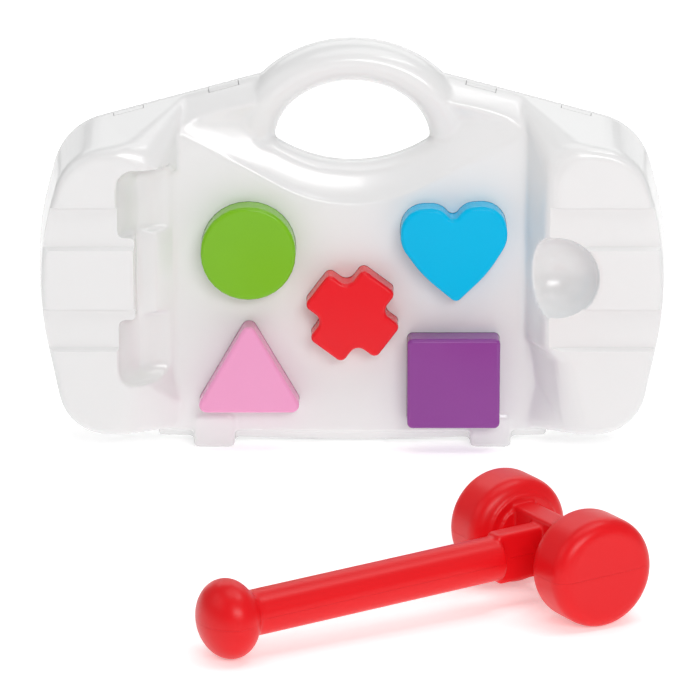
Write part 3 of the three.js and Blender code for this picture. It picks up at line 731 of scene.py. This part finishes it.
pegs = {
    "proud": 13, "edge": 1.8, "wall": 2.4, "clearance": 0.12, "holeFlare": 0.05,
    "bandFront": 8.7, "bandBack": 5.1, "fit": 0.3, "pinRadius": 4, "socketWall": 2.4, "pinLap": 12,
    "pinTipGap": 2, "boreOver": 1, "holeBack": 3, "leastRadius": 0.2, "segments": 8, "edgeSegments": 5,
}
heart = {"tip": (0, -24.6, 3), "notch": (0, 13.6, 3), "turn": 2.2,
         # flank, side, lobe, crown
         "half": [(15.2, -11, 60), (25.2, 4, 14), (23.2, 20.9, 11), (5.6, 20.6, 9)]}
cross = {"reach": 20.9, "arm": 9.7, "corner": 3, "crook": 4.5, "turn": 53}
circle = {"radius": 22}
triangle = {"halfBase": 26, "below": 19.6, "above": 25.4, "corner": 3.6}
square = {"half": 21.6, "corner": 2.6}


def turnCorners(corners, degrees):
    c, s = math.cos(math.radians(degrees)), math.sin(math.radians(degrees))
    return [(x * c - y * s, x * s + y * c, radius) for x, y, radius in corners]


def heartCorners():
    half = heart["half"]
    return turnCorners([heart["tip"], *half, heart["notch"], *mirrorCorners(half)], heart["turn"])


def crossCorners():
    reach, arm, corner = cross["reach"], cross["arm"], cross["corner"]
    quarter = [(reach, -arm, corner), (reach, arm, corner), (arm, arm, cross["crook"])]
    return [place for turn in range(4) for place in turnCorners(quarter, cross["turn"] + 90 * turn)]


def squareCorners(half, radius):
    return [(x * half, y * half, radius) for x, y in ((-1, -1), (1, -1), (1, 1), (-1, 1))]


def triangleCorners():
    half, below, radius = triangle["halfBase"], -triangle["below"], triangle["corner"]
    return [(-half, below, radius), (half, below, radius), (0, triangle["above"], radius)]


pegShapes = {
    "circle": {"x": -48.2, "height": 96.6, "slot": "peg_green",
               "corners": squareCorners(circle["radius"], circle["radius"])},  # four quarter turns
    "heart": {"x": 47.2, "height": 97.6, "corners": heartCorners(), "slot": "peg_blue"},
    "cross": {"x": 0, "height": 66.8, "corners": crossCorners(), "slot": "peg_red"},
    "triangle": {"x": -48.2, "height": 39.8, "corners": triangleCorners(), "slot": "peg_pink"},
    "square": {"x": 47.2, "height": 34.2, "slot": "peg_purple",
               "corners": squareCorners(square["half"], square["corner"])},
}


def pegOutline(shape, grow=0):
    return [(x + shape["x"], y + shape["height"],
             max(radius + (grow if radius > 0 else -grow), pegs["leastRadius"]))
            for x, y, radius in growCorners(shape["corners"], grow)]


def makePegHole(shape):
    # the hole's rim is eased at the panel's face
    narrow, wide = (pegOutline(shape, pegs["clearance"] + flare) for flare in (0, pegs["holeFlare"]))
    face = case["panelDepth"]
    rings = [(narrow, pegs["holeBack"]), (narrow, face - pegs["holeFlare"]),
             (wide, face + 2 * foot["proud"])]
    return loft("hole", rings, pegs["segments"])


def makePegCup(name, shape, struck, opened):
    # a cup: its struck end is rounded, and it is hollow towards the other
    way = 1 if struck > opened else -1
    startForm(name)
    addOutline(pegOutline(shape), struck, pegs["segments"])
    bpy.ops.mesh.select_all(action="SELECT")
    bpy.ops.mesh.extrude_region_move(TRANSFORM_OT_translate={"value": (0, (struck - opened) * mm, 0)})
    bpy.ops.mesh.select_all(action="SELECT")
    bpy.ops.mesh.normals_make_consistent(inside=False)
    pickFaces(lambda centre: abs(depthOf(centre) - opened) < 1e-3)
    bpy.ops.mesh.inset(thickness=pegs["wall"] * mm)
    inward = (struck - opened) - way * pegs["wall"]
    bpy.ops.mesh.extrude_region_move(TRANSFORM_OT_translate={"value": (0, -inward * mm, 0)})
    pickEdges(lambda a, b: abs(depthOf(a) - struck) < 1e-3 and abs(depthOf(b) - struck) < 1e-3)
    bpy.ops.mesh.bevel(affect="EDGES", offset=pegs["edge"] * mm, segments=pegs["edgeSegments"])
    return endForm()


def makePeg(name, shape, finish):
    face, body = case["panelDepth"], name + "_peg"
    frontOpen, rearOpen = pegs["bandFront"] + pegs["fit"], pegs["bandBack"] - pegs["fit"]
    struck = face + pegs["proud"]
    x, height, bore = shape["x"], shape["height"], pegs["pinRadius"] + pegs["fit"]
    boreEnd = frontOpen + pegs["pinLap"]
    front = makePegCup(name + "Front", shape, struck, frontOpen)
    socket = rod("socket", bore + pegs["socketWall"], frontOpen, struck - pegs["wall"] / 2, x, height)
    cut(socket, rod("bore", bore, frontOpen - pegs["boreOver"], boreEnd, x, height))
    cut(front, socket, operation="UNION")
    rear = makePegCup(name + "Rear", shape, -face, rearOpen)
    pin = rod("pin", pegs["pinRadius"], -face + pegs["wall"] / 2, boreEnd - pegs["pinTipGap"], x, height)
    cut(rear, pin, operation="UNION")
    for piece, end in ((front, "front"), (rear, "rear")):
        smoothShade(piece)
        dress(piece, f"{name}_peg_{end}_cup", finish, body, shape["slot"], f"{body}_{end}")


# Screws

screw = {
    "places": ((-121, 141), (121, 141), (-116, 25), (116, 25), (0, 104), (0, 26)),
    "radius": 1.5, "headRadius": 3.4, "headHeight": 2.3, "reach": 8.5, "tipLength": 1.5, "tipRadius": 0.3,
    # shares of the head's radius and height
    "crown": ((0, 1), (0.55, 1), (0.88, 0.7), (1, 0.25), (0.96, 0)),
    "wellRadius": 4.2, "wellFloor": 7, "wellTop": 60, "seatGap": 0.3,
    "slotWidth": 0.8, "slotReach": 2, "slotDepth": 1.2, "slotOver": 1,
}


def makeScrew():
    # turned from a half section about the origin's axis, then the cross is cut into the head
    floor, radius, reach = -screw["wellFloor"] - screw["seatGap"], screw["radius"], screw["reach"]
    crown = [(screw["headRadius"] * out, floor - screw["headHeight"] * up) for out, up in screw["crown"]]
    shank = [(radius, floor), (radius, reach - screw["tipLength"]), (screw["tipRadius"], reach), (0, reach)]
    startForm("screw")
    drawChain([atPanel(out, depth, 0) for out, depth in crown + shank])
    bpy.ops.mesh.spin(steps=32, angle=2 * math.pi, center=atPanel(0, 0, 0), axis=(0, 1, 0))
    bpy.ops.mesh.select_all(action="SELECT")
    bpy.ops.mesh.remove_doubles(threshold=1e-6)
    body = endForm()
    wide, deep, top = screw["slotWidth"] / 2, screw["slotDepth"], floor - screw["headHeight"]
    for across, along in ((screw["slotReach"], wide), (wide, screw["slotReach"])):
        cut(body, box("slot", (-across, top - screw["slotOver"], -along), (across, top + deep, along)))
    smoothShade(body)
    return body


def copyAt(form, x, height):
    activate(form)
    bpy.ops.object.duplicate()
    editAll(bpy.context.object)
    bpy.ops.transform.translate(value=(x * mm, 0, height * mm))
    bpy.ops.object.mode_set(mode="OBJECT")
    return bpy.context.object


# Hammer

hammer = {
    "headRadius": 23.2, "headLength": 25, "headEdge": 6.5, "headSpacing": 66,
    "steps": ((17, 1.2), (12.5, 1.2)),  # radius and height of the steps inside each head
    "neckWidth": 10.4, "neckHeight": 26.8, "barEdge": 1.2,
    "webWidth": 8.8, "webHeight": 21.2, "webReach": 26, "webOverlap": 2,
    "reach": 150.6, "gripRadius": 9.4, "gripEdge": 1.0, "gripOverlap": 0.5,
    "knobRadius": 16.4, "knobHalfLength": 12.2,
    "rootShare": 0.82, "rootReach": 5, "rootWeight": 1.6, "rootPasses": 24,  # the softened foot of the knob
    "yaw": 209.2, "x": 81.6, "inFront": 236.65, "partingGap": 0.06, "voxel": 0.65, "passes": 4,
}


def makeHammerHead(side):
    startForm("head")
    middle, half = side * hammer["headSpacing"] / 2, hammer["headLength"] / 2
    bpy.ops.mesh.primitive_cylinder_add(vertices=96, radius=hammer["headRadius"] * mm,
                                        depth=hammer["headLength"] * mm, location=(0, middle * mm, 0),
                                        rotation=(math.pi / 2, 0, 0))
    pickEdges(lambda a, b: abs(a.y - b.y) < 1e-7 and abs(abs(a.y / mm - middle) - half) < 1e-3)
    bpy.ops.mesh.bevel(affect="EDGES", offset=hammer["headEdge"] * mm, segments=8)
    face, radius = middle - side * half, hammer["headRadius"] - hammer["headEdge"]
    for stepRadius, height in hammer["steps"]:
        pickFaces(lambda centre: abs(centre.y / mm - face) < 1e-3 and centre.xz.length < mm)
        if stepRadius < radius:
            bpy.ops.mesh.inset(thickness=(radius - stepRadius) * mm)
        bpy.ops.mesh.extrude_region_move(TRANSFORM_OT_translate={"value": (0, -side * height * mm, 0)})
        face, radius = face - side * height, min(stepRadius, radius)
    return endForm()


def makeHammerBar(name, width, length, height, x):
    startForm(name)
    bpy.ops.mesh.primitive_cube_add(size=1, location=(x * mm, 0, 0),
                                    scale=(width * mm, length * mm, height * mm))
    bpy.ops.mesh.bevel(affect="EDGES", offset=hammer["barEdge"] * mm, segments=3)
    return endForm()


def makeHammerGrip():
    startForm("grip")
    start, end = hammer["webReach"] - hammer["gripOverlap"], hammer["reach"]
    bpy.ops.mesh.primitive_cylinder_add(vertices=64, radius=hammer["gripRadius"] * mm,
                                        depth=(end - start) * mm, location=((start + end) / 2 * mm, 0, 0),
                                        rotation=(0, math.pi / 2, 0))
    pickEdges(lambda a, b: abs(a.x - b.x) < 1e-7 and abs(a.x / mm - start) < 1e-3)
    bpy.ops.mesh.bevel(affect="EDGES", offset=hammer["gripEdge"] * mm, segments=3)
    bpy.ops.mesh.select_all(action="DESELECT")
    centre = (end * mm, 0, 0)
    bpy.ops.mesh.primitive_uv_sphere_add(segments=64, ring_count=32, radius=hammer["knobRadius"] * mm,
                                         location=centre, rotation=(0, math.pi / 2, 0))
    flatness = hammer["knobHalfLength"] / hammer["knobRadius"]
    bpy.ops.transform.resize(value=(flatness, 1, 1), center_override=centre)
    return endForm()


def nearKnobRoot(co):
    root = hammer["reach"] - hammer["knobHalfLength"] * hammer["rootShare"]
    return max(0, 1 - abs(co.x / mm - root) / hammer["rootReach"]) * hammer["rootWeight"]


def makeHammer(finish):
    spacing = hammer["headSpacing"]
    forms = [makeHammerHead(-1), makeHammerHead(1),
             makeHammerBar("neck", hammer["neckWidth"], spacing, hammer["neckHeight"], 0),
             makeHammerBar("web", hammer["webReach"] + hammer["webOverlap"], hammer["webWidth"],
                           hammer["webHeight"], hammer["webReach"] / 2),
             makeHammerGrip()]
    whole = joinForms("hammer", *forms)
    soften(whole, hammer["voxel"], hammer["passes"])
    softenWhere(whole, nearKnobRoot, hammer["rootPasses"])
    activate(whole)
    bpy.ops.object.duplicate()
    lower = bpy.context.object
    tilt = math.asin((hammer["headRadius"] - hammer["knobRadius"]) / hammer["reach"])
    for half, side, name in ((whole, 1, "upper"), (lower, -1, "lower")):
        editAll(half)
        bpy.ops.mesh.bisect(plane_co=(0, 0, side * hammer["partingGap"] / 2 * mm), plane_no=(0, 0, -side),
                            use_fill=True, clear_outer=True)
        endForm()
        half.rotation_euler = (0, tilt, math.radians(hammer["yaw"]))
        half.location = (hammer["x"] * mm, caseMid - hammer["inFront"] * mm, hammer["headRadius"] * mm)
        bpy.ops.object.transform_apply(location=True, rotation=True, scale=True)
        smoothShade(half)
        dress(half, f"hammer_{name}_moulding", finish, "hammer", "hammer_red", f"hammer_{name}_half")


# Finishes

class Wire:
    # a socket that takes part in Python sums: each sum adds a Math node
    def __init__(self, tree, socket):
        self.tree, self.socket = tree, socket

    def math(self, operation, *values):
        node = self.tree.nodes.new("ShaderNodeMath")
        node.operation = operation
        for slot, value in zip(node.inputs, values):
            plug(self.tree, slot, value)
        return Wire(self.tree, node.outputs[0])

    def __add__(self, other):
        return self.math("ADD", self, other)

    def __mul__(self, other):
        return self.math("MULTIPLY", self, other)

    __radd__, __rmul__ = __add__, __mul__

    def node(self, kind, settings=None, output=0, **values):
        made = self.tree.nodes.new(kind)
        for name, value in (settings or {}).items():
            setattr(made, name, value)
        for name, value in values.items():
            plug(self.tree, made.inputs[name.replace("_", " ")], value)
        return Wire(self.tree, made.outputs[output])


def plug(tree, slot, value):
    if isinstance(value, Wire):
        tree.links.new(value.socket, slot)
    else:
        slot.default_value = value


def linear(red, green, blue):
    # a colour as it is seen on a screen, 0 to 255, as the light that it reflects
    def channel(value):
        share = value / 255
        return share / 12.92 if share <= 0.04045 else ((share + 0.055) / 1.055) ** 2.4
    return (channel(red), channel(green), channel(blue), 1)


def newMaterial(name):
    material = bpy.data.materials.new(name)
    material.use_nodes = True
    return material, material.node_tree.nodes["Principled BSDF"].inputs


def noise(place, scale, detail):
    return place.node("ShaderNodeTexNoise", Vector=place, Scale=scale, Detail=detail)


def blend(place, share, deep, colour):
    mixed = place.node("ShaderNodeMix", {"data_type": "RGBA"}, output=2)
    for slot, value in ((0, share), (6, deep), (7, colour)):  # the factor and the two colours
        plug(place.tree, mixed.socket.node.inputs[slot], value)
    return mixed


def objectPlace(tree):
    return Wire(tree, tree.nodes.new("ShaderNodeTexCoord").outputs["Object"])


skin = {
    "driftScale": 22.0, "grainScale": 900.0, "flowScale": 70.0, "driftTone": 0.7, "grainTone": 0.3,
    "glossDrop": 0.05, "driftGloss": 0.06, "grainGloss": 0.04,
    "flowHeight": 0.8, "grainHeight": 0.2, "bump": 0.06, "bumpDistance": 0.0004,
    "coatRoughness": 0.08, "refraction": 1.5,
}


def mouldedPlastic(name, colour, deep, roughness, coat, shine=0.5, speck=1.0):
    # glossy moulded plastic: slow drifts of colour and gloss, and a faint unevenness of the skin
    material, shader = newMaterial(name)
    tree = material.node_tree
    place = objectPlace(tree)
    drift = noise(place, skin["driftScale"], 2.0)
    grain = noise(place, skin["grainScale"], 3.0)
    flow = noise(place, skin["flowScale"], 1.0)
    tone = drift * skin["driftTone"] + grain * skin["grainTone"]
    gloss = roughness - skin["glossDrop"] + drift * skin["driftGloss"] + grain * skin["grainGloss"]
    height = flow * skin["flowHeight"] + grain * skin["grainHeight"]
    plug(tree, shader["Base Color"], blend(place, tone, deep, colour))
    plug(tree, shader["Roughness"], gloss)
    plug(tree, shader["Normal"], place.node("ShaderNodeBump", Strength=skin["bump"] * speck,
                                            Distance=skin["bumpDistance"], Height=height))
    shader["Coat Weight"].default_value = coat
    shader["Coat Roughness"].default_value = skin["coatRoughness"]
    shader["IOR"].default_value = skin["refraction"]
    shader["Specular IOR Level"].default_value = shine
    return material


steel = {"dark": linear(150, 152, 156), "bright": linear(205, 206, 208), "scale": 2600.0,
         "roughness": 0.25, "roughnessDrift": 0.2}


def brushedSteel(name):
    material, shader = newMaterial(name)
    tree = material.node_tree
    place = objectPlace(tree)
    fine = noise(place, steel["scale"], 2.0)
    plug(tree, shader["Base Color"], blend(place, fine, steel["dark"], steel["bright"]))
    plug(tree, shader["Roughness"], steel["roughness"] + fine * steel["roughnessDrift"])
    shader["Metallic"].default_value = 1
    return material


shellWhite = mouldedPlastic("shellWhite", linear(230, 230, 230), linear(226, 226, 226), 0.24, 0.25)
hammerRed = mouldedPlastic("hammerRed", linear(230, 18, 26), linear(218, 12, 20), 0.34, 0.0, 0.3)
pegFinishes = {
    "circle": mouldedPlastic("pegGreen", linear(124, 186, 30), linear(114, 176, 24), 0.2, 0.0, 0.3),
    "heart": mouldedPlastic("pegBlue", linear(0, 184, 230), linear(0, 174, 220), 0.2, 0.0, 0.12),
    "cross": mouldedPlastic("pegRed", linear(232, 22, 34), linear(222, 16, 28), 0.2, 0.0, 0.3),
    "triangle": mouldedPlastic("pegPink", linear(236, 160, 200), linear(230, 148, 192), 0.2, 0.0, 0.3),
    "square": mouldedPlastic("pegPurple", linear(142, 68, 150), linear(132, 58, 140), 0.2, 0.0, 0.3),
}
bandGrey = mouldedPlastic("bandGrey", linear(120, 120, 122), linear(104, 104, 106), 0.62, 0.0, 0.5, 2.0)
screwSteel = brushedSteel("screwSteel")
print("finishes ready")


# Building

def makeCutters():
    holes = [makePegHole(shape) for shape in pegShapes.values()]
    return [*makeRooms(), *holes, *makeGrooves(1), *makeGrooves(-1)]


def turnToRear(half):
    editAll(half)
    bpy.ops.transform.resize(value=(1, -1, 1), center_override=(0, caseMid, 0))
    return endForm()


frontShell = makeCaseHalf("frontShell", True)
notches = makeTabBlocks(tab["gap"], -tab["notchBehind"], tab["reach"] + tab["gap"])
cut(frontShell, gather("frontCutters", *makeCutters(), notches))
smoothShade(frontShell)
dress(frontShell, "front_shell_moulding", shellWhite, "bench", "shell_white", "front_shell")

rearShell = makeCaseHalf("rearShell", False)
activate(rearShell)
bpy.ops.object.duplicate()
tabs = cut(bpy.context.object, makeTabBlocks(0, -tab["root"], tab["reach"]), operation="INTERSECT")
wells = [rod("well", screw["wellRadius"], screw["wellFloor"], screw["wellTop"], x, height, 48)
         for x, height in screw["places"]]
cut(rearShell, gather("rearCutters", *makeCutters(), *wells))
turnToRear(rearShell)
joinForms("rearShell", rearShell, tabs)
smoothShade(rearShell)
dress(rearShell, "rear_shell_moulding", shellWhite, "bench", "shell_white", "rear_shell")
print("shells ready")

for name, shape in pegShapes.items():
    makePeg(name, shape, pegFinishes[name])
    band = frame["nodes"][name + "_peg_band"]
    band.data.materials.clear()
    band.data.materials.append(bandGrey)

screwForm = makeScrew()
for number, (x, height) in enumerate(screw["places"], 1):
    dress(copyAt(screwForm, x, height), f"screw_{number}", screwSteel, "bench", "screw_steel",
          f"shell_screw_{number}")
bpy.data.objects.remove(screwForm)

makeHammer(hammerRed)


# Stage, light and camera

studio = {
    "floorReach": 6.0, "floorColour": linear(252, 252, 252), "floorRoughness": 0.9, "floorGlow": 0.34,
    "worldLight": 0.29, "camera": (-0.0011, -1.6768, 0.5351), "pitch": 15.1, "lens": 205.7,
    "softboxes": (  # name, place, what it faces, width and height, watts
        ("keyRight", (0.33, -1.21, 0.67), (0, 0.13, 0.1), (0.8, 0.3), 6.9),
        ("overhead", (0.1, -0.1, 1.3), (0, 0.13, 0.1), (1.2, 0.6), 4.0),
        ("stripRight", (0.36, -0.2, 0.91), (0, 0.13, 0.15), (0.5, 0.08), 1.0),
        ("fillLeft", (-1.2, -0.4, 0.9), (0, 0.13, 0.1), (1.0, 0.8), 2.0),
        ("backdrop", (0, 0.95, 1.0), (0, 1.0, 0), (1.6, 0.8), 6.0),
        ("backBoard", (0, 2.2, 0.62), (0, 0.13, 0.2), (3.2, 1.1), 11.0),
    ),
}


def makeStage():
    deselectAll()
    bpy.ops.mesh.primitive_plane_add(size=studio["floorReach"])
    floor = bpy.context.object
    floor.name = "floor"
    material, shader = newMaterial("floorWhite")
    shader["Base Color"].default_value = studio["floorColour"]
    shader["Roughness"].default_value = studio["floorRoughness"]
    # lit from below, as on a light table
    shader["Emission Color"].default_value = studio["floorColour"]
    shader["Emission Strength"].default_value = studio["floorGlow"]
    floor.data.materials.append(material)


def addSoftbox(name, place, target, size, watts):
    deselectAll()
    bpy.ops.object.light_add(type="AREA", location=place)
    lamp = bpy.context.object
    lamp.name = name
    lamp.data.shape = "RECTANGLE"
    lamp.data.size, lamp.data.size_y = size
    lamp.data.energy = watts
    lamp.rotation_euler = (Vector(target) - Vector(place)).to_track_quat("-Z", "Y").to_euler()


makeStage()
world = bpy.data.worlds.new("studio")
bpy.context.scene.world = world
world.use_nodes = True
world.node_tree.nodes["Background"].inputs["Color"].default_value = (1, 1, 1, 1)
world.node_tree.nodes["Background"].inputs["Strength"].default_value = studio["worldLight"]
for softbox in studio["softboxes"]:
    addSoftbox(*softbox)

bpy.ops.object.camera_add(location=studio["camera"], rotation=(math.radians(90 - studio["pitch"]), 0, 0))
bpy.context.object.data.lens = studio["lens"]
bpy.context.scene.camera = bpy.context.object
bpy.context.scene.view_settings.view_transform = "Standard"

deselectAll()
